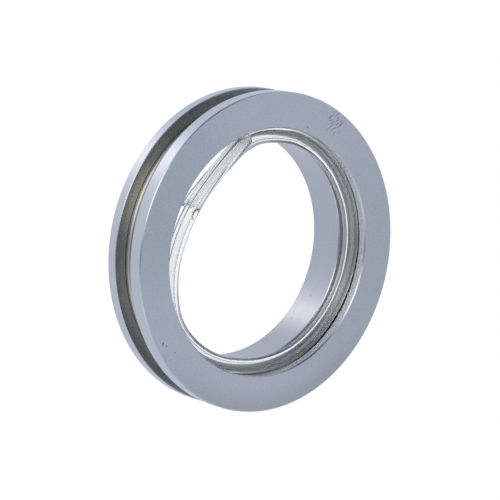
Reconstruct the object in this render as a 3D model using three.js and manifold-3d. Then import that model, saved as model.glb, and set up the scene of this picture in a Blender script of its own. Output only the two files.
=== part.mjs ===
// Single-direction thrust ball bearing, about 250 mm across, lying flat.
//
// Millimetres, +Z up. The origin is on the bearing axis, in the plane of the
// seat under the lower (shaft) washer. The upper (housing) washer's flat face
// is the top of the bearing. Depths are measured downwards from that face, so
// z = HEIGHT - depth. Radii are measured from the bearing axis.
//
// Pieces: housing washer, shaft washer, machined cage, 36 balls, and a clear
// hose that is tucked between the washers at the bore to hold the set
// together until it is fitted. Both ends of the hose have come out of the gap
// and cross the bore as chords, one over the other.
import * as THREE from "three";
import { mergeVertices } from "three/addons/utils/BufferGeometryUtils.js";
import Module from "manifold-3d";

const manifold = await Module();
manifold.setup();

// ---------------------------------------------------------------- dimensions
const HEIGHT = 55.0;
const RING_SIDES = 72; // flats round every turned ring

const HOUSING = {
  outerRadius: 125.0,
  boreRadius: 97.0,
  rimDepth: 12.34, // the underside, at the rim
  boreDepth: 6.66, // the underside at the bore, after the relief
  reliefRadius: 101.5, // where the relief meets the underside
  topChamfer: 0.7,
  undersideChamfer: 0.5,
  boreChamfer: 0.94,
};

const SHAFT = {
  outerRadius: 124.85,
  boreRadius: 90.0,
  trackDepth: 23.5, // top of the raised track
  trackRadius: 112.6, // outer edge of the raised track
  landDepth: 31.45, // low land outside the track
  rimDepth: 40.6, // lower edge of the rim
  seatRadius: 101.0, // outer edge of the flat seat underneath
  boreChamfer: 0.8,
  landChamfer: 0.5,
  backChamfer: 0.45,
  backSteps: 4, // straight steps along the curved back
};

const BALL_DIAMETER = 13.494; // 17/32 inch
const BALL_COUNT = 36;
const BALL_DETAIL = 2; // icosahedron subdivision
const PITCH_RADIUS = 107.3;
const BALL_DEPTH = (HOUSING.rimDepth + SHAFT.trackDepth) / 2; // midway between the washers
const GROOVE_RADIUS = 7.05; // section radius, a running clearance over the ball
const GROOVE_STEPS = 4;

const CAGE = {
  innerRadius: 99.3,
  outerRadius: 115.4,
  topDepth: 13.3,
  bottomDepth: 22.5,
  skirtInnerRadius: 113.0,
  skirtDepth: 31.05, // lower edge of the outer skirt
  chamfer: 0.35,
};

const POCKET = {
  radius: 7.27,
  sides: 12,
  overcutAbove: 1, // how far the cutter passes the cage's top
  overcutBelow: 0.4, // and its bottom
};

const HOSE = {
  radius: 6.1,
  boreRadius: 2.5, // a thick wall
  sides: 10,
  boreSides: 6,
  steps: 76,
};

// [angle in degrees from +X, radius of the centreline, depth], clockwise seen
// from above: from the lower end across the bore and into the gap, round the
// gap, then out across the bore again and back over the lower end, just below
// the housing washer's face.
const HOSE_PATH = [
  [152, 75, 20.4], [148.6, 74.8, 20], [142.4, 74.3, 19.3], [135.1, 74.7, 18.65],
  [128.2, 75.7, 18.1], [121.4, 77.3, 17.8], [113.4, 81, 17.6], [107.3, 84.2, 17.5],
  [98, 88, 17.2], [90, 89.6, 16.7], [82, 90.9, 16.0], [74, 92.0, 15.4],
  [65, 92.6, 14.8], [55, 92.8, 14.2], [40, 92.8, 13.6], [20, 92.7, 13.3],
  [0, 92.2, 13.3], [-20, 92.2, 13.5], [-40, 92.3, 14.3], [-60, 92.5, 15.3],
  [-80, 92.0, 16.1], [-100, 91.8, 16.6], [-112, 92.5, 16.8], [-124, 92.8, 16.9],
  [-136, 92.7, 16.8], [-146, 91.3, 16.5], [-156, 88.7, 15.6], [-166, 86.5, 14.3],
  [-176, 84.2, 13.0], [-186, 82.1, 11.7], [-196, 80.9, 10.3], [-206, 80.3, 9.1],
  [-216, 80.2, 8.2], [-226, 81.4, 7.5], [-236, 84.6, 6.8], [-245, 88.9, 6.5],
  [-250, 90.6, 6.3],
];

// ------------------------------------------------------------------ materials
const ground = new THREE.MeshStandardMaterial({ color: 0x9aa5b5, roughness: 0.42, metalness: 0.9 });
const turned = new THREE.MeshStandardMaterial({ color: 0xb4bdc9, roughness: 0.34, metalness: 0.9 });
const brass = new THREE.MeshStandardMaterial({ color: 0xb9a878, roughness: 0.4, metalness: 0.85 });
const polished = new THREE.MeshStandardMaterial({
  color: 0xc9ced4,
  roughness: 0.12,
  metalness: 1.0,
});
const clearPlastic = new THREE.MeshStandardMaterial({
  color: 0xdfe6e4,
  roughness: 0.2,
  metalness: 0.0,
  transparent: true,
  opacity: 0.35,
});

// -------------------------------------------------------------------- helpers
// A point from its angle in radians, radius and height.
function polarPoint(angle, radius, z) {
  return new THREE.Vector3(radius * Math.cos(angle), radius * Math.sin(angle), z);
}

// Balls and pockets are evenly spaced, the first on +X.
const ballAngles = Array.from({ length: BALL_COUNT }, (_, i) => (2 * Math.PI * i) / BALL_COUNT);

// A closed section turned about +Z. Its [radius, depth] corners run outwards
// along the top, then down, and back along the underside. The lathe needs the
// opposite order, and turns about +Y, so the result is stood up afterwards.
function turnedRing(section) {
  const points = section.map(([radius, depth]) => new THREE.Vector2(radius, HEIGHT - depth));
  points.reverse();
  points.push(points[0].clone());
  return new THREE.LatheGeometry(points, RING_SIDES).rotateX(Math.PI / 2);
}

// The corners of a ball groove in a flat at flatDepth, from the inside out.
// side is +1 for a groove under the ball and -1 for one over it.
function groove(flatDepth, side) {
  const halfWidth = Math.sqrt(GROOVE_RADIUS ** 2 - (flatDepth - BALL_DEPTH) ** 2);
  const halfAngle = Math.asin(halfWidth / GROOVE_RADIUS);
  const corners = [];
  for (let i = 0; i <= GROOVE_STEPS; i++) {
    const angle = -halfAngle + (2 * halfAngle * i) / GROOVE_STEPS;
    corners.push([
      PITCH_RADIUS + GROOVE_RADIUS * Math.sin(angle),
      BALL_DEPTH + side * GROOVE_RADIUS * Math.cos(angle),
    ]);
  }
  return corners;
}

// Normals and uvs are dropped so that vertices merge across seams and edges.
function solidOf(geometry) {
  geometry.deleteAttribute("normal");
  geometry.deleteAttribute("uv");
  const merged = mergeVertices(geometry, 1e-4);
  return new manifold.Manifold(
    new manifold.Mesh({
      numProp: 3,
      vertProperties: merged.attributes.position.array,
      triVerts: new Uint32Array(merged.index.array),
    }),
  );
}

function geometryOf(solid) {
  const { vertProperties, triVerts } = solid.getMesh();
  const geometry = new THREE.BufferGeometry();
  const positions = new THREE.BufferAttribute(new Float32Array(vertProperties), 3);
  geometry.setAttribute("position", positions);
  geometry.setIndex(new THREE.BufferAttribute(new Uint32Array(triVerts), 1));
  geometry.computeVertexNormals();
  return geometry;
}

function piece(name, geometry, material) {
  const mesh = new THREE.Mesh(geometry, material);
  mesh.name = name;
  return mesh;
}

// ------------------------------------------------------------- housing washer
function housingWasher() {
  const { outerRadius, boreRadius, rimDepth, topChamfer, undersideChamfer, boreChamfer } = HOUSING;
  return turnedRing([
    [boreRadius + boreChamfer, 0],
    [outerRadius - topChamfer, 0],
    [outerRadius, topChamfer],
    [outerRadius, rimDepth - undersideChamfer],
    [outerRadius - undersideChamfer, rimDepth],
    ...groove(rimDepth, -1).reverse(),
    [HOUSING.reliefRadius, rimDepth],
    [boreRadius, HOUSING.boreDepth],
    [boreRadius, boreChamfer],
  ]);
}

// --------------------------------------------------------------- shaft washer
// The back is a shallow ball seat: an arc, centred on the bearing axis, from
// the rim to the flat seat. Returns the corners between those two ends.
function shaftBack(rimRadius) {
  const { seatRadius, rimDepth, backSteps } = SHAFT;
  const rise = HEIGHT - rimDepth;
  // Both ends are equally far from the arc centre. That gives the sum of the
  // centre's heights above the seat and above the rim edge; they differ by rise.
  const heightSum = (rimRadius ** 2 - seatRadius ** 2) / rise;
  const centreHeight = (heightSum + rise) / 2;
  const arcRadius = Math.hypot(centreHeight, seatRadius);
  const corners = [];
  for (let i = 1; i < backSteps; i++) {
    const radius = rimRadius + ((seatRadius - rimRadius) * i) / backSteps;
    const z = centreHeight - Math.sqrt(arcRadius ** 2 - radius ** 2);
    corners.push([radius, HEIGHT - z]);
  }
  return corners;
}

function shaftWasher() {
  const { outerRadius, boreRadius, trackDepth, trackRadius, landDepth, rimDepth } = SHAFT;
  const { boreChamfer, landChamfer, backChamfer } = SHAFT;
  const backRadius = outerRadius - backChamfer;
  return turnedRing([
    [boreRadius + boreChamfer, trackDepth],
    ...groove(trackDepth, 1),
    [trackRadius, trackDepth],
    [trackRadius, landDepth],
    [outerRadius - landChamfer, landDepth],
    [outerRadius, landDepth + landChamfer],
    [outerRadius, rimDepth - backChamfer],
    [backRadius, rimDepth],
    ...shaftBack(backRadius),
    [SHAFT.seatRadius, HEIGHT],
    [boreRadius + boreChamfer, HEIGHT],
    [boreRadius, HEIGHT - boreChamfer],
    [boreRadius, trackDepth + boreChamfer],
  ]);
}

// ----------------------------------------------------------------------- cage
function pocketCutter(angle) {
  const top = CAGE.topDepth - POCKET.overcutAbove;
  const bottom = CAGE.bottomDepth + POCKET.overcutBelow;
  const centre = polarPoint(angle, PITCH_RADIUS, HEIGHT - (top + bottom) / 2);
  return new THREE.CylinderGeometry(POCKET.radius, POCKET.radius, bottom - top, POCKET.sides)
    .rotateX(Math.PI / 2)
    .rotateZ(angle + Math.PI / POCKET.sides)
    .translate(centre.x, centre.y, centre.z);
}

// A ring with a through pocket for each ball and a skirt outside the track.
function cage() {
  const { innerRadius, outerRadius, topDepth, bottomDepth, chamfer } = CAGE;
  const { skirtInnerRadius, skirtDepth } = CAGE;
  let solid = solidOf(
    turnedRing([
      [innerRadius, topDepth],
      [outerRadius - chamfer, topDepth],
      [outerRadius, topDepth + chamfer],
      [outerRadius, skirtDepth - chamfer],
      [outerRadius - chamfer, skirtDepth],
      [skirtInnerRadius, skirtDepth],
      [skirtInnerRadius, bottomDepth],
      [innerRadius, bottomDepth],
    ]),
  );
  for (const angle of ballAngles) solid = solid.subtract(solidOf(pocketCutter(angle)));
  return geometryOf(solid);
}

// ----------------------------------------------------------------------- hose
function circlePoints(radius, sides) {
  return Array.from({ length: sides }, (_, i) => {
    const angle = (2 * Math.PI * i) / sides;
    return new THREE.Vector2(radius * Math.cos(angle), radius * Math.sin(angle));
  });
}

function hose() {
  const stations = HOSE_PATH.map(([degrees, radius, depth]) =>
    polarPoint(THREE.MathUtils.degToRad(degrees), radius, HEIGHT - depth),
  );
  const section = new THREE.Shape(circlePoints(HOSE.radius, HOSE.sides));
  section.holes.push(new THREE.Path(circlePoints(HOSE.boreRadius, HOSE.boreSides).reverse()));
  return new THREE.ExtrudeGeometry(section, {
    steps: HOSE.steps,
    extrudePath: new THREE.CatmullRomCurve3(stations, false, "centripetal"),
    bevelEnabled: false,
  });
}

// ---------------------------------------------------------------------- balls
function ballRow() {
  const row = new THREE.Group();
  row.position.z = HEIGHT - BALL_DEPTH;
  const geometry = new THREE.IcosahedronGeometry(BALL_DIAMETER / 2, BALL_DETAIL);
  ballAngles.forEach((angle, i) => {
    const ball = piece("ball_" + String(i + 1).padStart(2, "0"), geometry, polished);
    ball.position.copy(polarPoint(angle, PITCH_RADIUS, 0));
    ball.rotation.z = angle;
    row.add(ball);
  });
  return row;
}

// ------------------------------------------------------------------- assembly
const bearing = new THREE.Group();
bearing.add(
  piece("housing_washer", housingWasher(), ground),
  piece("shaft_washer", shaftWasher(), turned),
  piece("ball_cage", cage(), brass),
  piece("retaining_hose", hose(), clearPlastic),
  ballRow(),
);

export default bearing;
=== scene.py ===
import math

import bmesh
import bpy
import numpy as np
from mathutils import Matrix, Vector


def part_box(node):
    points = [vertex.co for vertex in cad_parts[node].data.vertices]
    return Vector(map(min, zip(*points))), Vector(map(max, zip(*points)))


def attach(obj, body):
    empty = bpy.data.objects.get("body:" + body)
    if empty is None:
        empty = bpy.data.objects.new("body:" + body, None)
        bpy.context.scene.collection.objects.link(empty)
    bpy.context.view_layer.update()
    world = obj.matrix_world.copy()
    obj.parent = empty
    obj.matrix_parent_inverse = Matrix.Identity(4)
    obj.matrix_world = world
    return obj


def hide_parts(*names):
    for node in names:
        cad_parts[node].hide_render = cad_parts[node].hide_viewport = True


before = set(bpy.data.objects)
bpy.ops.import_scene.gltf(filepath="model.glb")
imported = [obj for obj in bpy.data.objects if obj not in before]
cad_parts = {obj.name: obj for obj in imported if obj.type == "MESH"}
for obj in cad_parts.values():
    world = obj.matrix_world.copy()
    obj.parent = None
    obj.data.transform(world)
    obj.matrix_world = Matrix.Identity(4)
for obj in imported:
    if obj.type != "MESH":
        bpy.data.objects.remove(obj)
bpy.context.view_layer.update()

MM = 0.001

# ------------------------------------------------------------------ sizes from the frame
low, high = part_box("housing_washer")
AXIS_X, AXIS_Y = (low.x + high.x) / 2, (low.y + high.y) / 2
TOP = high.z  # metres
HOUSING_R = (high.x - AXIS_X) / MM
HOUSING_D = (TOP - low.z) / MM
low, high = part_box("shaft_washer")
SHAFT_R = (high.x - AXIS_X) / MM
SEAT = low.z  # metres
SHAFT_TOP_D = (TOP - high.z) / MM
HEIGHT = (TOP - SEAT) / MM
low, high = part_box("ball_cage")
CAGE_R = (high.x - AXIS_X) / MM
CAGE_TOP_D = (TOP - high.z) / MM
CAGE_LOW_D = (TOP - low.z) / MM
BALLS = sorted(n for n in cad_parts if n.startswith("ball_") and n[5:].isdigit())
low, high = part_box(BALLS[0])
BALL_R = (high.z - low.z) / 2 / MM
PITCH_R = ((low.x + high.x) / 2 - AXIS_X) / MM
BALL_D = (TOP - (low.z + high.z) / 2) / MM

# ------------------------------------------------------------------ own sizes, mm
WASHER_SEGMENTS = 480  # a multiple of four
CAGE_SEGMENTS = 360
BALL_PATCH = 14  # quads along a patch edge

GROOVE_R = 7.05
GROOVE_FACETS = 26
GROOVE_LIP = 0.02  # the flats stop this far short of the groove

HOUSING_BORE = HOUSING_R - 28.0
HOUSING_CHAMFER = 0.7
HOUSING_LOW_CHAMFER = 0.5
HOUSING_BORE_CHAMFER = 0.94
HOUSING_TAPER_R, HOUSING_TAPER_D = 101.5, 6.66  # the bore flares from this depth to this radius

SHAFT_BORE = 90.0
SHAFT_BORE_CHAMFER = 0.8
LAND_R, LAND_D, LAND_CHAMFER = 112.6, 31.45, 0.5  # the low land outside the track
RIM_LOW_D, RIM_LOW_CHAMFER = 40.6, 0.45
BACK_R = 101.0  # outer radius of the flat underside
BACK_STEPS = 16

CAGE_IN = 99.3
CAGE_WEB_D = 22.5  # underside of the web that holds the balls
CAGE_SKIRT_IN = 113.0
CAGE_LIP = 1.0  # the foot stands out this far

POCKET_GAP = 0.38
POCKET_SEGMENTS = 40
POCKET_STEPS = 5

HOSE_R, HOSE_IN = 6.15, 2.4
HOSE_LIP = 0.35  # rounding of the cut ends
HOSE_AROUND = 72
HOSE_ALONG = 620

scene = bpy.context.scene
main = scene.collection


def at(radius, degrees, depth=0.0):
    """A point in metres, from a radius and depth in mm and an angle."""
    a = math.radians(degrees)
    return (
        AXIS_X + radius * MM * math.cos(a),
        AXIS_Y + radius * MM * math.sin(a),
        TOP - depth * MM,
    )


# ------------------------------------------------------------------ mesh helpers
def new_object(name, verts, faces, materials=(), index=None):
    mesh = bpy.data.meshes.new(name)
    mesh.from_pydata([tuple(v) for v in verts], [], [tuple(f) for f in faces])
    for item in materials:
        mesh.materials.append(item)
    if index is not None:
        mesh.polygons.foreach_set("material_index", np.asarray(index, np.int32))
    mesh.polygons.foreach_set("use_smooth", np.full(len(mesh.polygons), True))
    mesh.update()
    mesh.validate()
    obj = bpy.data.objects.new(name, mesh)
    main.objects.link(obj)
    return obj


def stand_in(obj, body, node):
    """Show obj in place of a CAD node, carried by the given body."""
    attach(obj, body)
    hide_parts(node)


HOLD = 0.09  # holding points sit this far from a corner
SPLIT_OVER, SPLIT_STEP = 4.0, 3.0  # stretches longer than the first are split at about the second
CORNER_STEP = math.radians(8.0)


def rounded_corner(before, corner, after, fillet):
    """Points on the arc that rounds one corner."""
    a, b = before - corner, after - corner
    len_a, len_b = np.linalg.norm(a), np.linalg.norm(b)
    a, b = a / len_a, b / len_b
    angle = math.acos(max(-1, min(1, float(a @ b))))
    reach = min(fillet / math.tan(angle / 2), 0.48 * len_a, 0.48 * len_b)
    radius = reach * math.tan(angle / 2)
    bisector = (a + b) / np.linalg.norm(a + b)
    centre = corner + bisector * (radius / math.sin(angle / 2))
    start, end = corner + a * reach - centre, corner + b * reach - centre
    first = math.atan2(start[1], start[0])
    sweep = (math.atan2(end[1], end[0]) - first + math.pi) % (2 * math.pi) - math.pi
    steps = max(2, int(round(abs(sweep) / CORNER_STEP)))
    turns = [first + sweep * j / steps for j in range(steps + 1)]
    return [centre + radius * np.array([math.cos(t), math.sin(t)]) for t in turns]


def rounded_section(corners):
    """Round the corners, and add holding points beside them so that flats stay flat.

    corners: (radius, depth, fillet, finish of the stretch that follows).
    Gives the points, and the finish of the stretch after each.
    """
    points = [np.array(c[:2], float) for c in corners]
    outline = []
    for i, (point, (_, _, fillet, finish)) in enumerate(zip(points, corners)):
        if fillet <= 0:
            outline.append((point, finish))
            continue
        arc = rounded_corner(points[i - 1], point, points[(i + 1) % len(points)], fillet)
        outline += [(p, "edge") for p in arc[:-1]]
        outline.append((arc[-1], finish))
    full = []
    for i, (p, finish) in enumerate(outline):
        q = outline[(i + 1) % len(outline)][0]
        length = np.linalg.norm(q - p)
        full.append((p, finish))
        if length > 6 * HOLD:
            full.append((p + (q - p) * HOLD / length, finish))
            if length > SPLIT_OVER:
                count = int(length // SPLIT_STEP)
                for j in range(1, count + 1):
                    along = HOLD + (length - 2 * HOLD) * j / (count + 1)
                    full.append((p + (q - p) * along / length, finish))
            full.append((q - (q - p) * HOLD / length, finish))
    return [f[0] for f in full], [f[1] for f in full]


def turned(name, corners, finishes, materials, segments):
    """A ring turned about the bearing axis from a clockwise (radius, depth) section.

    finishes maps the name of a finish to its material slot; others take slot 0.
    """
    points, names = rounded_section(corners)
    n = len(points)
    points = points[::-1]
    names = [names[(n - 2 - i) % n] for i in range(n)]
    angles = np.arange(segments) * 2 * math.pi / segments
    radii = np.array([p[0] for p in points]) * MM
    heights = TOP - np.array([p[1] for p in points]) * MM
    verts = np.stack(
        [
            AXIS_X + np.outer(np.cos(angles), radii),
            AXIS_Y + np.outer(np.sin(angles), radii),
            np.repeat(heights[None, :], segments, 0),
        ],
        -1,
    ).reshape(-1, 3)
    faces, index = [], []
    for i in range(segments):
        k = (i + 1) % segments
        for j in range(n):
            m = (j + 1) % n
            faces.append((i * n + j, k * n + j, k * n + m, i * n + m))
            index.append(finishes.get(names[j], 0))
    return new_object(name, verts, faces, materials, index)


def groove_points(flat_depth, side):
    """Raceway groove (radius, depth) points from the inner side outwards.

    side is -1 for a groove over the balls and 1 for one under them.
    """
    half = math.sqrt(GROOVE_R**2 - (flat_depth - BALL_D) ** 2)
    limit = math.asin(half / GROOVE_R)
    points = []
    for i in range(GROOVE_FACETS + 1):
        t = -limit + 2 * limit * i / GROOVE_FACETS
        points.append((PITCH_R + GROOVE_R * math.sin(t), BALL_D + side * GROOVE_R * math.cos(t)))
    return points


# ------------------------------------------------------------------ node helpers
class Nodes:
    """Adds nodes to a tree. Values may be sockets, which are linked, or constants."""

    def __init__(self, tree):
        self.tree = tree
        tree.nodes.clear()

    def add(self, kind, **props):
        n = self.tree.nodes.new(kind)
        for key, value in props.items():
            setattr(n, key, value)
        return n

    def put(self, socket, value):
        if isinstance(value, bpy.types.NodeSocket):
            self.tree.links.new(value, socket)
        else:
            socket.default_value = value

    def fill(self, node, values):
        for key, value in values.items():
            self.put(node.inputs[key], value)

    def math(self, op, *values):
        n = self.add("ShaderNodeMath", operation=op)
        for socket, value in zip(n.inputs, values):
            self.put(socket, value)
        return n.outputs[0]

    def scaled(self, value, by, plus):
        return self.math("MULTIPLY_ADD", value, by, plus)

    def swing(self, value, pattern, width):
        """Vary value by a 0 to 1 pattern, half the width either way."""
        return self.math("ADD", value, self.scaled(pattern, by=width, plus=-width / 2))

    def dim(self, value, mask, amount):
        """Cut value by a share, where mask is 1."""
        return self.math("MULTIPLY", value, self.scaled(mask, by=-amount, plus=1.0))

    def blend(self, main_part, other_part):
        """Seven parts of the first to three of the second."""
        first = self.math("MULTIPLY", main_part, 0.7)
        return self.math("ADD", first, self.math("MULTIPLY", other_part, 0.3))

    def vec(self, op, *values):
        n = self.add("ShaderNodeVectorMath", operation=op)
        for socket, value in zip(n.inputs, values):
            self.put(socket, value)
        return n.outputs["Value"] if op in ("DOT_PRODUCT", "DISTANCE") else n.outputs[0]

    def xyz(self, vector):
        n = self.add("ShaderNodeSeparateXYZ")
        self.put(n.inputs[0], vector)
        return n.outputs

    def join(self, x, y, z):
        n = self.add("ShaderNodeCombineXYZ")
        for socket, value in zip(n.inputs, (x, y, z)):
            self.put(socket, value)
        return n.outputs[0]

    def noise(self, vector, scale, detail, rough):
        n = self.add("ShaderNodeTexNoise")
        self.fill(n, {"Vector": vector, "Scale": scale, "Detail": detail, "Roughness": rough})
        return n.outputs["Fac"]

    def smooth(self, value, zero, one):
        """A smooth step that is 0 at zero and 1 at one."""
        n = self.add("ShaderNodeMapRange", interpolation_type="SMOOTHSTEP")
        for socket, item in zip(n.inputs[0:5], (value, zero, one, 0.0, 1.0)):
            self.put(socket, item)
        return n.outputs[0]

    def mix(self, fac, a, b):
        n = self.add("ShaderNodeMix", data_type="RGBA", clamp_factor=True)
        self.put(n.inputs[0], fac)
        for socket, value in zip(n.inputs[6:8], (a, b)):
            if isinstance(value, tuple):
                value = value + (1,)
            self.put(socket, value)
        return n.outputs[2]

    def scale_colour(self, colour, factor):
        n = self.add("ShaderNodeVectorMath", operation="SCALE")
        self.put(n.inputs[0], colour)
        self.put(n.inputs[3], factor)
        return n.outputs[0]

    def bump(self, height, strength, distance):
        n = self.add("ShaderNodeBump")
        self.fill(n, {"Strength": strength, "Distance": distance, "Height": height})
        return n.outputs[0]


def material(name):
    """A Principled material: gives it, its nodes, its shader and the object position."""
    result = bpy.data.materials.new(name)
    result.use_nodes = True
    nt = Nodes(result.node_tree)
    out = nt.add("ShaderNodeOutputMaterial")
    bsdf = nt.add("ShaderNodeBsdfPrincipled")
    nt.put(out.inputs["Surface"], bsdf.outputs[0])
    return result, nt, bsdf, nt.add("ShaderNodeTexCoord").outputs["Object"]


def around(nt, pos):
    """Unit direction from the axis, radius and height, so that patterns have no seam."""
    x, y, z = nt.xyz(pos)
    x = nt.math("SUBTRACT", x, AXIS_X)
    y = nt.math("SUBTRACT", y, AXIS_Y)
    squares = nt.math("ADD", nt.math("MULTIPLY", x, x), nt.math("MULTIPLY", y, y))
    r = nt.math("SQRT", squares)
    return nt.math("DIVIDE", x, r), nt.math("DIVIDE", y, r), r, z


def lay_noise(nt, ux, uy, across, round_scale, cross_scale, detail, rough):
    """Noise drawn out into lines round the axis."""
    place = nt.join(
        nt.math("MULTIPLY", ux, round_scale),
        nt.math("MULTIPLY", uy, round_scale),
        nt.math("MULTIPLY", across, cross_scale),
    )
    return nt.noise(place, scale=1.0, detail=detail, rough=rough)


def brushed(nt, bsdf, amount):
    """Stretch the highlights across the turning lines."""
    tangent = nt.add("ShaderNodeTangent", direction_type="RADIAL", axis="Z")
    nt.fill(
        bsdf,
        {"Anisotropic": amount, "Anisotropic Rotation": 0.25, "Tangent": tangent.outputs[0]},
    )


def spot(nt, pos, centre, size, soft):
    """1 inside a round spot (metres), 0 outside; soft is the share of size that fades."""
    d = nt.vec("DISTANCE", pos, centre)
    return nt.smooth(d, zero=size * (1 + soft), one=size * (1 - soft))


def ragged_spot(nt, pos, edge, centre, size, width):
    """A spot of size mm whose outline is moved by the edge noise, over width metres."""
    d = nt.swing(nt.vec("DISTANCE", pos, centre), edge, width=width)
    return nt.smooth(d, zero=size * 1.3 * MM, one=size * 0.6 * MM)


def most(nt, values):
    result = values[0]
    for value in values[1:]:
        result = nt.math("MAXIMUM", result, value)
    return result


# ------------------------------------------------------------------ materials
STEEL = (0.560, 0.565, 0.570)

# painted shade on parts of the ground faces, each darker towards its side: degrees, cosines where
# each starts and is full, radii in mm where each starts and is full, amount
PAINTED_SHADE_PARTS = [
    (160, 0.70, 1.0, 90, 100, 0.10),
    (352, 0.30, 1.0, 90, 100, 0.08),
    (275, 0.45, 1.0, 104, 123, 0.14),
]
# short dark scratches on the +X +Y part of the top face
SCRATCH_TURN = math.radians(38)
SCRATCH_CENTRE = at(115.6, 63.0)
# dark specks on the top face: radius, degrees, size in mm
SPECKS = [
    (101.5, 76.0, 0.6), (118.0, 215.5, 0.8), (118.9, 216.3, 0.5),
    (116.4, 217.2, 0.5), (113.5, 222.0, 0.5), (121.0, 305.0, 0.5),
]
# dark marks on the shaft washer's bore: degrees, depth, size in mm
BORE_MARKS = [(-27.0, 40.0, 1.0), (-42.0, 45.0, 0.8), (-62.0, 50.0, 0.8)]
# dark teal scuff on the hose: radius, degrees, depth in mm, size in metres
SCUFF = [
    (78.8, 155.4, 3.4, 0.0010), (80.3, 156.0, 3.3, 0.0012), (81.5, 157.0, 3.5, 0.0011),
    (82.1, 158.2, 3.8, 0.0009), (81.9, 159.4, 3.9, 0.0008), (81.4, 160.6, 3.9, 0.0007),
    (80.4, 161.5, 4.0, 0.0009),
]
HOSE_LOW_END = at(75.2, 155.0, 20.6)
HOSE_TIP = at(92.5, 108.0, 5.0)  # the upper end


def scratches(nt, pos):
    x, y, _ = nt.xyz(pos)
    cos, sin = math.cos(SCRATCH_TURN), math.sin(SCRATCH_TURN)
    along = nt.math("ADD", nt.math("MULTIPLY", x, cos), nt.math("MULTIPLY", y, sin))
    across = nt.math("SUBTRACT", nt.math("MULTIPLY", y, cos), nt.math("MULTIPLY", x, sin))
    # a higher scale across than along draws the noise out into streaks
    place = nt.join(nt.math("MULTIPLY", along, 170), nt.math("MULTIPLY", across, 950), 0.0)
    streak = nt.smooth(nt.noise(place, scale=1.0, detail=2, rough=0.5), zero=0.53, one=0.61)
    return nt.math("MULTIPLY", streak, spot(nt, pos, SCRATCH_CENTRE, size=0.0085, soft=0.6))


def steel_ground():
    result, nt, bsdf, pos = material("steel_ground")
    ux, uy, r, _ = around(nt, pos)
    grain = nt.noise(pos, scale=1500, detail=5, rough=0.65)
    fine = nt.noise(pos, scale=5200, detail=2, rough=0.6)
    cloud = nt.noise(pos, scale=34, detail=4, rough=0.55)
    arc = lay_noise(nt, ux, uy, r, round_scale=1.3, cross_scale=900, detail=3, rough=0.6)
    coarse = nt.noise(pos, scale=760, detail=2, rough=0.6)
    tone = nt.scaled(grain, by=0.22, plus=0.86)
    tone = nt.swing(tone, coarse, width=0.34)
    tone = nt.swing(tone, cloud, width=0.09)
    tone = nt.swing(tone, arc, width=0.06)
    # painted shade: darken the face towards each listed side
    for degrees, start, full, inner, outer, amount in PAINTED_SHADE_PARTS:
        a = math.radians(degrees)
        toward = nt.vec("DOT_PRODUCT", nt.join(ux, uy, 0.0), (math.cos(a), math.sin(a), 0.0))
        part = nt.math(
            "MULTIPLY",
            nt.smooth(toward, zero=start, one=full),
            nt.smooth(r, zero=inner * MM, one=outer * MM),
        )
        tone = nt.scaled(part, by=-amount, plus=tone)
    marks = [scratches(nt, pos)]
    for radius, degrees, size in SPECKS:
        edge = nt.noise(pos, scale=900, detail=2, rough=0.5)
        marks.append(ragged_spot(nt, pos, edge, at(radius, degrees), size, width=0.0024))
    mark = most(nt, marks)
    mark_colour, mark_share, mark_sink = (0.11, 0.12, 0.14), 0.8, 0.5
    colour = nt.scale_colour(STEEL, tone)
    rough = nt.swing(nt.scaled(grain, by=0.14, plus=0.36), cloud, width=0.08)
    height = nt.math("SUBTRACT", nt.blend(grain, fine), nt.math("MULTIPLY", mark, mark_sink))
    nt.fill(bsdf, {
        "Base Color": nt.mix(nt.math("MULTIPLY", mark, mark_share), colour, mark_colour),
        "Metallic": 1.0,
        "Roughness": rough,
        "Normal": nt.bump(height, strength=0.16, distance=0.00012),
    })
    return result


def steel_turned():
    result, nt, bsdf, pos = material("steel_turned")
    ux, uy, r, z = around(nt, pos)
    rise = nt.math("ADD", r, z)
    lines = lay_noise(nt, ux, uy, rise, round_scale=3.0, cross_scale=2600, detail=3, rough=0.6)
    bands = lay_noise(nt, ux, uy, rise, round_scale=9.0, cross_scale=700, detail=2, rough=0.5)
    cloud = nt.noise(pos, scale=40, detail=3, rough=0.5)
    grain = nt.noise(pos, scale=1900, detail=3, rough=0.6)
    tone = nt.scaled(lines, by=0.10, plus=0.95)
    tone = nt.swing(tone, cloud, width=0.06)
    tone = nt.swing(tone, grain, width=0.06)
    # painted shade: the shaft washer's bore is darkened a little
    bore = nt.smooth(r, zero=(SHAFT_BORE + 0.6) * MM, one=(SHAFT_BORE + 0.2) * MM)
    tone = nt.dim(tone, bore, amount=0.14)
    # painted shade: the low land outside the track, down in the gap between the washers, is darker
    # too
    off_land = nt.math("ABSOLUTE", nt.math("SUBTRACT", z, TOP - LAND_D * MM))
    land_shade = nt.math(
        "MULTIPLY",
        nt.smooth(r, zero=(LAND_R - 0.4) * MM, one=(LAND_R + 0.2) * MM),
        nt.smooth(off_land, zero=0.0006, one=0.0002),
    )
    tone = nt.dim(tone, land_shade, amount=0.12)
    edge = nt.noise(pos, scale=1100, detail=2, rough=0.5)
    marks = [
        ragged_spot(nt, pos, edge, at(SHAFT_BORE, degrees, depth), size, width=0.0010)
        for degrees, depth, size in BORE_MARKS
    ]
    mark_colour, mark_share = (0.18, 0.17, 0.17), 0.6
    share = nt.math("MULTIPLY", most(nt, marks), mark_share)
    nt.fill(bsdf, {
        "Base Color": nt.mix(share, nt.scale_colour(STEEL, tone), mark_colour),
        "Metallic": 1.0,
        "Roughness": nt.swing(nt.scaled(bands, by=0.10, plus=0.22), cloud, width=0.06),
        "Normal": nt.bump(nt.blend(lines, bands), strength=0.10, distance=0.00006),
    })
    brushed(nt, bsdf, amount=0.45)
    return result


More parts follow.
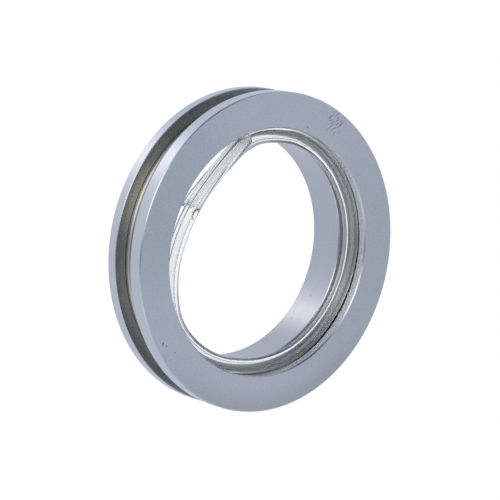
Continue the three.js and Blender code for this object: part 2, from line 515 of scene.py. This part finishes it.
def steel_track():
    result, nt, bsdf, pos = material("steel_track")
    ux, uy, r, z = around(nt, pos)
    rise = nt.math("ADD", r, z)
    lines = lay_noise(nt, ux, uy, rise, round_scale=4.0, cross_scale=3800, detail=3, rough=0.6)
    # the ball path is a little more burnished than the shoulders
    off_path = nt.math("ABSOLUTE", nt.math("SUBTRACT", r, PITCH_R * MM))
    path = nt.smooth(off_path, zero=0.0024, one=0.0012)
    track_steel, path_polish = (0.58, 0.585, 0.59), 0.05
    rough = nt.scaled(lines, by=0.05, plus=0.13)
    nt.fill(bsdf, {
        "Base Color": nt.scale_colour(track_steel, nt.scaled(lines, by=0.08, plus=0.96)),
        "Metallic": 1.0,
        "Roughness": nt.math("SUBTRACT", rough, nt.math("MULTIPLY", path, path_polish)),
        "Normal": nt.bump(lines, strength=0.06, distance=0.00003),
    })
    return result


def brass_machined():
    result, nt, bsdf, pos = material("brass_machined")
    ux, uy, r, z = around(nt, pos)
    rise = nt.math("ADD", r, z)
    lines = lay_noise(nt, ux, uy, rise, round_scale=3.0, cross_scale=2400, detail=3, rough=0.6)
    hatch = lay_noise(nt, ux, uy, rise, round_scale=90, cross_scale=130, detail=2, rough=0.5)
    cloud = nt.noise(pos, scale=60, detail=4, rough=0.55)
    tone = nt.swing(nt.scaled(lines, by=0.22, plus=0.89), hatch, width=0.16)
    pale, deep = (0.55, 0.52, 0.43), (0.49, 0.45, 0.35)
    base = nt.mix(nt.smooth(cloud, zero=0.35, one=0.7), pale, deep)
    nt.fill(bsdf, {
        "Base Color": nt.scale_colour(base, tone),
        "Metallic": 1.0,
        "Roughness": nt.swing(nt.scaled(lines, by=0.14, plus=0.26), cloud, width=0.10),
        "Normal": nt.bump(nt.blend(lines, hatch), strength=0.14, distance=0.00008),
    })
    brushed(nt, bsdf, amount=0.35)
    return result


def ball_chrome():
    result, nt, bsdf, pos = material("ball_chrome")
    lap = nt.noise(pos, scale=2600, detail=3, rough=0.6)
    film = nt.noise(pos, scale=180, detail=3, rough=0.5)
    clean, filmed = (0.64, 0.645, 0.655), (0.57, 0.57, 0.57)
    lap_rough = 0.03
    rough = nt.scaled(film, by=0.10, plus=0.03)
    nt.fill(bsdf, {
        "Base Color": nt.mix(nt.smooth(film, zero=0.4, one=0.75), clean, filmed),
        "Metallic": 1.0,
        "Roughness": nt.math("ADD", rough, nt.math("MULTIPLY", lap, lap_rough)),
        "Normal": nt.bump(lap, strength=0.04, distance=0.00002),
    })
    return result


def hose_clear():
    result, nt, bsdf, pos = material("hose_clear")
    smear = nt.noise(pos, scale=70, detail=3, rough=0.5)
    spots = [
        spot(nt, pos, at(radius, degrees, depth), size, soft=0.55)
        for radius, degrees, depth, size in SCUFF
    ]
    breakup = nt.noise(pos, scale=800, detail=3, rough=0.65)
    breakup = nt.smooth(breakup, zero=0.34, one=0.46)
    scuff = nt.math("MULTIPLY", most(nt, spots), breakup)
    # a change of tint and some haze towards the upper end, and frosting at both cuts
    end = nt.smooth(nt.vec("DISTANCE", pos, HOSE_TIP), zero=0.036, one=0.004)
    clean, smeared = (0.972, 0.984, 0.975), (0.962, 0.976, 0.964)
    end_colour, scuff_colour = (0.982, 0.982, 0.955), (0.015, 0.045, 0.045)
    colour = nt.mix(nt.smooth(smear, zero=0.3, one=0.8), clean, smeared)
    colour = nt.mix(end, colour, end_colour)
    colour = nt.mix(scuff, colour, scuff_colour)
    tip_cut = nt.smooth(nt.vec("DISTANCE", pos, HOSE_TIP), zero=0.014, one=0.004)
    low_cut = nt.smooth(nt.vec("DISTANCE", pos, HOSE_LOW_END), zero=0.010, one=0.005)
    rough = nt.scaled(smear, by=0.03, plus=0.02)
    rough = nt.scaled(end, by=0.16, plus=rough)
    rough = nt.scaled(tip_cut, by=0.24, plus=rough)
    rough = nt.scaled(low_cut, by=0.45, plus=rough)
    nt.fill(bsdf, {
        "Base Color": colour,
        "IOR": 1.49,
        "Specular IOR Level": 0.36,
        "Transmission Weight": 0.96,
        "Roughness": rough,
    })
    return result


ground, turned_steel, track = steel_ground(), steel_turned(), steel_track()
brass, chrome, clear = brass_machined(), ball_chrome(), hose_clear()
WASHER_MATERIALS = [ground, turned_steel, track]
WASHER_FINISHES = {"face": 0, "turn": 1, "edge": 1, "track": 2}


# ------------------------------------------------------------------ washers
def housing_washer():
    groove = groove_points(HOUSING_D, side=-1)[::-1]
    corners = [
        (HOUSING_BORE + HOUSING_BORE_CHAMFER, 0, 0.16, "face"),
        (HOUSING_R - HOUSING_CHAMFER, 0, 0.14, "turn"),
        (HOUSING_R, HOUSING_CHAMFER, 0.14, "turn"),
        (HOUSING_R, HOUSING_D - HOUSING_LOW_CHAMFER, 0.12, "turn"),
        (HOUSING_R - HOUSING_LOW_CHAMFER, HOUSING_D, 0.12, "face"),
        (groove[0][0] + GROOVE_LIP, HOUSING_D, 0.1, "track"),
        *[(r, d, 0, "track") for r, d in groove[1:-1]],
        (groove[-1][0] - GROOVE_LIP, HOUSING_D, 0.1, "face"),
        (HOUSING_TAPER_R, HOUSING_D, 0.3, "turn"),
        (HOUSING_BORE, HOUSING_TAPER_D, 0.35, "turn"),
        (HOUSING_BORE, HOUSING_BORE_CHAMFER, 0.16, "turn"),
    ]
    ring = turned(
        "housing_washer_ring", corners, WASHER_FINISHES, WASHER_MATERIALS, WASHER_SEGMENTS
    )
    stand_in(ring, "housing", "housing_washer")


def domed_back():
    """The underside between its flat and the rim: part of a sphere centred on the axis."""
    outer, rise = SHAFT_R - RIM_LOW_CHAMFER, HEIGHT - RIM_LOW_D
    centre = ((outer**2 - BACK_R**2) / rise + rise) / 2  # height above the seat
    sphere = math.hypot(centre, BACK_R)
    corners = []
    for i in range(1, BACK_STEPS):
        r = outer + (BACK_R - outer) * i / BACK_STEPS
        corners.append((r, HEIGHT - (centre - math.sqrt(sphere**2 - r**2)), 0, "turn"))
    return corners


def shaft_washer():
    groove = groove_points(SHAFT_TOP_D, side=1)
    corners = [
        (SHAFT_BORE + SHAFT_BORE_CHAMFER, SHAFT_TOP_D, 0.16, "face"),
        (groove[0][0] - GROOVE_LIP, SHAFT_TOP_D, 0.1, "track"),
        *[(r, d, 0, "track") for r, d in groove[1:-1]],
        (groove[-1][0] + GROOVE_LIP, SHAFT_TOP_D, 0.1, "face"),
        (LAND_R, SHAFT_TOP_D, 0.15, "turn"),
        (LAND_R, LAND_D, 0.35, "turn"),
        (SHAFT_R - LAND_CHAMFER, LAND_D, 0.12, "turn"),
        (SHAFT_R, LAND_D + LAND_CHAMFER, 0.12, "turn"),
        (SHAFT_R, RIM_LOW_D - RIM_LOW_CHAMFER, 0.12, "turn"),
        (SHAFT_R - RIM_LOW_CHAMFER, RIM_LOW_D, 0.12, "turn"),
        *domed_back(),
        (BACK_R, HEIGHT, 0.8, "face"),
        (SHAFT_BORE + SHAFT_BORE_CHAMFER, HEIGHT, 0.16, "turn"),
        (SHAFT_BORE, HEIGHT - SHAFT_BORE_CHAMFER, 0.16, "turn"),
        (SHAFT_BORE, SHAFT_TOP_D + SHAFT_BORE_CHAMFER, 0.16, "turn"),
    ]
    ring = turned(
        "shaft_washer_ring", corners, WASHER_FINISHES, WASHER_MATERIALS, WASHER_SEGMENTS
    )
    stand_in(ring, "shaft", "shaft_washer")


# ------------------------------------------------------------------ cage
def pocket_section():
    """(radius, depth) of a pocket: a round hole that closes in a little over its ball."""
    radius = BALL_R + POCKET_GAP
    top_radius = math.sqrt(radius**2 - (BALL_D - CAGE_TOP_D) ** 2)
    bottom = CAGE_WEB_D + 0.35
    section = [(0.0, bottom), (radius - 0.2, bottom), (radius, CAGE_WEB_D + 0.1)]
    for k in range(POCKET_STEPS + 1):
        depth = BALL_D - 0.02 + (CAGE_TOP_D + 0.25 - BALL_D) * k / POCKET_STEPS
        section.append((math.sqrt(radius**2 - (BALL_D - depth) ** 2), depth))
    mouth, above = top_radius + 0.28, CAGE_TOP_D - 1.2
    return section + [(mouth, CAGE_TOP_D - 0.07), (mouth, above), (0.0, above)]


def pocket_cutters():
    """One closed cutter for each ball pocket."""
    section = pocket_section()
    ring = section[1:-1]
    count = len(ring)
    verts, faces = [], []
    for ball in BALLS:
        low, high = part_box(ball)
        cx, cy = (low.x + high.x) / 2, (low.y + high.y) / 2
        base = len(verts)
        verts.append((cx, cy, TOP - section[0][1] * MM))
        verts.append((cx, cy, TOP - section[-1][1] * MM))
        for i in range(POCKET_SEGMENTS):
            a = 2 * math.pi * i / POCKET_SEGMENTS
            for r, d in ring:
                verts.append((cx + r * MM * math.cos(a), cy + r * MM * math.sin(a), TOP - d * MM))
        for i in range(POCKET_SEGMENTS):
            p = base + 2 + i * count
            q = base + 2 + ((i + 1) % POCKET_SEGMENTS) * count
            faces.append((base, q, p))
            faces.append((base + 1, p + count - 1, q + count - 1))
            for j in range(count - 1):
                faces.append((p + j, q + j, q + j + 1, p + j + 1))
    return new_object("pocket_cutters", verts, faces)


def cut_pockets(cage):
    cutters = pocket_cutters()
    cut_step = cage.modifiers.new("pockets", "BOOLEAN")
    cut_step.operation = "DIFFERENCE"
    cut_step.object = cutters
    cut_step.solver = "MANIFOLD"
    depsgraph = bpy.context.evaluated_depsgraph_get()
    mesh = bpy.data.meshes.new_from_object(cage.evaluated_get(depsgraph), depsgraph=depsgraph)
    cage.modifiers.clear()
    cage.data = mesh
    bpy.data.objects.remove(cutters)
    mesh.materials.clear()
    mesh.materials.append(brass)
    # clean the cut, and keep its edges crisp under smooth shading
    bm = bmesh.new()
    bm.from_mesh(mesh)
    bmesh.ops.remove_doubles(bm, verts=bm.verts, dist=1e-7)
    bmesh.ops.dissolve_degenerate(bm, edges=bm.edges, dist=1e-7)
    for face in bm.faces:
        face.smooth = True
        face.material_index = 0
    crisp = math.radians(24)
    for edge in bm.edges:
        edge.smooth = not (len(edge.link_faces) == 2 and edge.calc_face_angle(0) > crisp)
    bm.to_mesh(mesh)
    bm.free()


def ball_cage():
    body_r = CAGE_R - CAGE_LIP
    # radius, depth, fillet
    corners = [
        (CAGE_IN, CAGE_TOP_D, 0.25),
        (body_r, CAGE_TOP_D, 0.4),
        (body_r, CAGE_LOW_D - 3.4, 0.12),
        (CAGE_R, CAGE_LOW_D - 2.4, 0.12),
        (CAGE_R, CAGE_LOW_D, 0.25),
        (CAGE_SKIRT_IN, CAGE_LOW_D, 0.25),
        (CAGE_SKIRT_IN, CAGE_WEB_D, 0.5),
        (CAGE_IN, CAGE_WEB_D, 0.25),
    ]
    corners = [(*corner, "turn") for corner in corners]
    cage = turned("ball_cage_ring", corners, {}, [brass], CAGE_SEGMENTS)
    cut_pockets(cage)
    stand_in(cage, "cage", "ball_cage")


# ------------------------------------------------------------------ balls
def ball_mesh(radius, n):
    """A ball as six curved patches of n by n quads, with even spacing."""
    known, verts, faces = {}, [], []

    def vertex(point):
        key = tuple(np.round(point, 9))
        if key not in known:
            known[key] = len(verts)
            verts.append(point)
        return known[key]

    spread = np.tan(np.linspace(-math.pi / 4, math.pi / 4, n + 1))
    for axis in range(3):
        for side in (1, -1):
            u, v = (axis + 1) % 3, (axis + 2) % 3
            grid = []
            for i in range(n + 1):
                row = []
                for j in range(n + 1):
                    p = np.zeros(3)
                    p[axis], p[u], p[v] = side, spread[i], spread[j]
                    row.append(vertex(p / np.linalg.norm(p)))
                grid.append(row)
            for i in range(n):
                for j in range(n):
                    quad = (grid[i][j], grid[i + 1][j], grid[i + 1][j + 1], grid[i][j + 1])
                    faces.append(quad if side > 0 else quad[::-1])
    return np.array(verts) * radius, faces


def balls():
    verts, faces = ball_mesh(BALL_R * MM, BALL_PATCH)
    for name in BALLS:
        low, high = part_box(name)
        centre = np.array((low + high) / 2)
        ball = new_object(name + "_fine", verts + centre, faces, [chrome])
        stand_in(ball, name, name)


# ------------------------------------------------------------------ hose
# centre line from the low end, clockwise from above, to the upper end: degrees, radius, depth
HOSE_PATH = [
    (156.6, 75.4, 20.9), (152, 75.0, 20.4), (148.6, 74.8, 20.0), (142.4, 74.3, 19.3),
    (135.1, 74.7, 18.65), (128.2, 75.7, 18.1), (121.4, 77.3, 17.8), (113.4, 81.0, 17.6),
    (107.3, 84.2, 17.5), (98, 88.0, 17.2), (90, 89.6, 16.7), (82, 90.9, 16.0),
    (74, 92.3, 15.0), (65, 92.8, 14.1), (55, 93.0, 13.4), (40, 93.05, 12.8),
    (20, 93.1, 12.6), (0, 92.8, 12.8), (-20, 92.7, 13.2), (-40, 92.8, 14.0),
    (-60, 92.9, 15.0), (-80, 92.0, 16.1), (-100, 91.8, 16.6), (-112, 92.5, 16.8),
    (-124, 92.8, 16.9), (-136, 92.7, 16.8), (-146, 91.3, 16.5), (-156, 88.7, 15.6),
    (-166, 86.5, 14.3), (-176, 84.2, 13.0), (-186, 82.1, 11.7), (-196, 80.9, 10.3),
    (-206, 80.3, 9.1), (-216, 80.2, 8.2), (-226, 81.4, 7.5), (-236, 84.6, 6.7),
    (-245, 89.3, 6.4), (-252, 94.0, 6.3),
]
SPLINE_STEPS = 24  # between two points of the path
RIPPLE = 0.003  # share of the radius, for each of two waves
RIPPLE_LENGTHS = (19.0, 43.0)  # mm for one radian
TIP_SLANT, TIP_SLANT_RUN = 0.22, 9.0  # how far off square the end is cut, and fading over what run
LOW_SLANT, LOW_SLANT_RUN = 0.5, 20.0
SQUEEZE_RUN = 45  # length of the upper end that is pressed against the housing bore
SQUEEZE_SOFT = 1.6  # the squeeze starts this far from the wall
WALL_GAP = 0.12


def spline(points):
    """Centripetal Catmull-Rom through the points."""

    def between(a, b, ta, tb, t):
        return (tb - t) / (tb - ta) * a + (t - ta) / (tb - ta) * b

    padded = [2 * points[0] - points[1], *points, 2 * points[-1] - points[-2]]
    out = []
    for i in range(1, len(padded) - 2):
        p0, p1, p2, p3 = padded[i - 1 : i + 3]
        t0 = 0.0
        t1 = t0 + np.linalg.norm(p1 - p0) ** 0.5
        t2 = t1 + np.linalg.norm(p2 - p1) ** 0.5
        t3 = t2 + np.linalg.norm(p3 - p2) ** 0.5
        for k in range(SPLINE_STEPS):
            t = t1 + (t2 - t1) * k / SPLINE_STEPS
            a1 = between(p0, p1, t0, t1, t)
            a2 = between(p1, p2, t1, t2, t)
            a3 = between(p2, p3, t2, t3, t)
            b1 = between(a1, a2, t0, t2, t)
            b2 = between(a2, a3, t1, t3, t)
            out.append(between(b1, b2, t1, t2, t))
    out.append(padded[-2])
    return np.array(out)


def hose_rings(total):
    """(distance along, radius) of each ring: up the outside, round the lip, back inside."""
    stations = np.linspace(HOSE_LIP, total - HOSE_LIP, HOSE_ALONG)
    quarter = [math.radians(90 * k / 4) for k in range(5)]
    quarter = [(HOSE_LIP * math.sin(a), HOSE_LIP * math.cos(a)) for a in quarter]
    last, outer, inner = total - HOSE_LIP, HOSE_R - HOSE_LIP, HOSE_IN + HOSE_LIP
    return (
        [(s, HOSE_R) for s in stations]
        + [(last + sin, outer + cos) for sin, cos in quarter[1:]]
        + [(last + cos, inner - sin) for sin, cos in quarter]
        + [(s, HOSE_IN) for s in stations[::-1][1:]]
        + [(HOSE_LIP - sin, inner - cos) for sin, cos in quarter[1:]]
        + [(HOSE_LIP - cos, outer + sin) for sin, cos in quarter[:4]]
    )


def squeeze(q, radius):
    """Press a point (mm) that comes close to the housing washer's bore back inside it."""
    dx, dy = q[0] - AXIS_X / MM, q[1] - AXIS_Y / MM
    reach = math.hypot(dx, dy)
    # the wall is a little wider at the very top, by the chamfer
    bore = HOUSING_BORE if TOP / MM - q[2] > 0.9 else HOUSING_BORE + 0.1
    start = bore - WALL_GAP - SQUEEZE_SOFT
    if reach > start:
        press = 1 - math.exp(-(reach - start) / SQUEEZE_SOFT)
        new = start + SQUEEZE_SOFT * press * (radius / HOSE_R) ** 0.3
        q[0], q[1] = AXIS_X / MM + dx * new / reach, AXIS_Y / MM + dy * new / reach


def signed_volume(obj):
    bm = bmesh.new()
    bm.from_mesh(obj.data)
    result = bm.calc_volume(signed=True)
    bm.free()
    return result


def retaining_hose():
    line = spline(np.array([at(r, degrees, d) for degrees, r, d in HOSE_PATH]) / MM)
    lengths = np.linalg.norm(np.diff(line, axis=0), axis=1)
    run = np.concatenate([[0], np.cumsum(lengths)])
    total = run[-1]

    def where(s):
        return np.array([np.interp(s, run, line[:, k]) for k in range(3)])

    def directions(s):
        a, b = where(max(s - 0.8, 0)), where(min(s + 0.8, total))
        along = (b - a) / np.linalg.norm(b - a)
        outward = np.cross((0, 0, 1.0), along)
        outward /= np.linalg.norm(outward)
        return along, outward, np.cross(outward, along)

    phases = np.random.default_rng(11).uniform(0, 2 * math.pi, 6)
    rings = hose_rings(total)
    verts = []
    for s, radius in rings:
        centre = where(s)
        along, outward, down = directions(s)
        tip = max(0.0, 1 - (total - s) / TIP_SLANT_RUN)
        start = max(0.0, 1 - s / LOW_SLANT_RUN)
        for i in range(HOSE_AROUND):
            a = 2 * math.pi * i / HOSE_AROUND
            x, y = math.cos(a), math.sin(a)
            wave = 1 + RIPPLE * math.sin(s / RIPPLE_LENGTHS[0] + phases[0] + a)
            wave += RIPPLE * math.sin(s / RIPPLE_LENGTHS[1] + phases[1] - 2 * a) - 2 * RIPPLE
            q = centre + outward * (x * radius * wave) + down * (y * radius * wave)
            # both ends are cut off square, with the outward side the longer
            q = q - along * (HOSE_R - x * radius) * TIP_SLANT * tip
            q = q + along * (HOSE_R - x * radius) * LOW_SLANT * start
            if s > total - SQUEEZE_RUN:
                squeeze(q, radius)
            verts.append(q * MM)
    faces = []
    n = HOSE_AROUND
    for j in range(len(rings)):
        k = (j + 1) % len(rings)
        for i in range(n):
            m = (i + 1) % n
            faces.append((j * n + i, j * n + m, k * n + m, k * n + i))
    hose = new_object("retaining_hose_clear", verts, faces, [clear])
    if signed_volume(hose) < 0:
        hose.data.flip_normals()
    stand_in(hose, "housing", "retaining_hose")


housing_washer()
shaft_washer()
ball_cage()
balls()
retaining_hose()

# enough light paths for the clear hose
scene.cycles.max_bounces = 24
scene.cycles.transmission_bounces = 24
scene.cycles.glossy_bounces = 14
scene.cycles.diffuse_bounces = 14

# ------------------------------------------------------------------ camera
# it looks down from the -X side, with +Y up in the view
CAMERA_PLACE = Vector((AXIS_X - 1.16509, AXIS_Y + 0.21709, TOP + 1.37724))
CAMERA_AXES = Matrix((
    (0.772957, 0.097705, 0.626890),  # right
    (0.0, 0.988071, -0.153998),  # up
    (-0.634459, 0.119034, 0.763746),  # backward
))
camera_data = bpy.data.cameras.new("camera")
camera = bpy.data.objects.new("camera", camera_data)
main.objects.link(camera)
camera_data.sensor_width = 36.0
camera_data.sensor_fit = "HORIZONTAL"
camera_data.lens = 169.65
camera.matrix_world = Matrix.Translation(CAMERA_PLACE) @ CAMERA_AXES.transposed().to_4x4()
camera_data.clip_start = 0.05
camera_data.clip_end = 60.0
scene.camera = camera


# ------------------------------------------------------------------ floor
def floor_white():
    """Glows almost white, with a faint diffuse response."""
    result = bpy.data.materials.new("floor_white")
    result.use_nodes = True
    nt = Nodes(result.node_tree)
    out = nt.add("ShaderNodeOutputMaterial")
    glow = nt.add("ShaderNodeEmission")
    nt.fill(glow, {"Color": (1, 1, 1, 1), "Strength": 0.98})
    diffuse = nt.add("ShaderNodeBsdfDiffuse")
    nt.fill(diffuse, {"Color": (0.06, 0.06, 0.06, 1)})
    both = nt.add("ShaderNodeAddShader")
    nt.put(both.inputs[0], glow.outputs[0])
    nt.put(both.inputs[1], diffuse.outputs[0])
    nt.put(out.inputs["Surface"], both.outputs[0])
    return result


FLOOR_HALF = 30.0  # metres
FLOOR_GAP = 0.0006
floor_mesh = bpy.data.meshes.new("floor")
floor_corners = [(x * FLOOR_HALF, y * FLOOR_HALF, 0) for x, y in ((-1, -1), (1, -1), (1, 1), (-1, 1))]
floor_mesh.from_pydata(floor_corners, [], [(0, 1, 2, 3)])
floor = bpy.data.objects.new("floor", floor_mesh)
floor.location.z = SEAT - FLOOR_GAP
main.objects.link(floor)
floor_mesh.materials.append(floor_white())
floor.visible_glossy = False
floor.visible_shadow = False

# ------------------------------------------------------------------ world
ROOM_LEVEL = 0.73
ROOM_CAST = (0.958, 1.044, 1.240)  # the room light is a little cool, the lobes are neutral
DARKEST = (0.03, 0.032, 0.036)
# soft lobes of light, or of dark where negative: direction, sharpness, amount
LOBES = [
    ((-0.313, 0.564, -0.764), 60.0, 0.95),  # upper left in the view, behind the bearing
    ((-0.39, 0.50, -0.764), 14.0, 0.22),  # a wider glow round it
    ((0.0, 0.0, -1.0), 3.0, 0.09),  # broad and pale, underneath
    ((-0.625, 0.468, 0.625), 30.0, 1.3),  # above the camera
    ((-0.72, 0.30, 0.63), 60.0, 1.1),  # a tighter one, closer to the camera
    ((-0.604, -0.570, 0.554), 40.0, 0.7),  # below the camera, a little left
    ((-0.40, -0.77, 0.48), 20.0, 0.35),  # further below
    ((-0.763, -0.119, 0.633), 170.0, -1.1),  # small and dark, just by the camera
    ((0.041, 0.906, 0.420), 9.0, -0.41),  # dark, high on the +Y side
    ((-0.02, 0.66, 0.75), 7.0, -0.42),  # dark, above and right of the camera
    ((-0.42, -0.52, 0.74), 7.0, -0.42),  # dark, below the camera
]


def studio_world():
    """Room light for the pieces, plain white for the camera."""
    world = bpy.data.worlds.new("studio")
    scene.world = world
    world.use_nodes = True
    nt = Nodes(world.node_tree)
    out = nt.add("ShaderNodeOutputWorld")
    direction = nt.vec("NORMALIZE", nt.add("ShaderNodeTexCoord").outputs["Generated"])
    total = tuple(ROOM_LEVEL * c for c in ROOM_CAST)
    for axis, sharp, amount in LOBES:
        dot = nt.vec("DOT_PRODUCT", direction, tuple(Vector(axis).normalized()))
        lobe = nt.math("EXPONENT", nt.scaled(dot, by=sharp, plus=-sharp))
        part = nt.scale_colour((1.0, 1.0, 1.0), nt.math("MULTIPLY", lobe, amount))
        total = nt.vec("ADD", part, total)
    room = nt.add("ShaderNodeBackground")
    nt.fill(room, {"Color": nt.vec("MAXIMUM", total, DARKEST), "Strength": 1.0})
    white = nt.add("ShaderNodeBackground")
    nt.fill(white, {"Color": (1, 1, 1, 1), "Strength": 1.0})
    mixer = nt.add("ShaderNodeMixShader")
    nt.put(mixer.inputs[0], nt.add("ShaderNodeLightPath").outputs["Is Camera Ray"])
    nt.put(mixer.inputs[1], room.outputs[0])
    nt.put(mixer.inputs[2], white.outputs[0])
    nt.put(out.inputs["Surface"], mixer.outputs[0])


studio_world()

scene.view_settings.view_transform = "Standard"
scene.view_settings.look = "None"
scene.view_settings.exposure = 0.0
scene.view_settings.gamma = 1.0

bpy.context.view_layer.update()
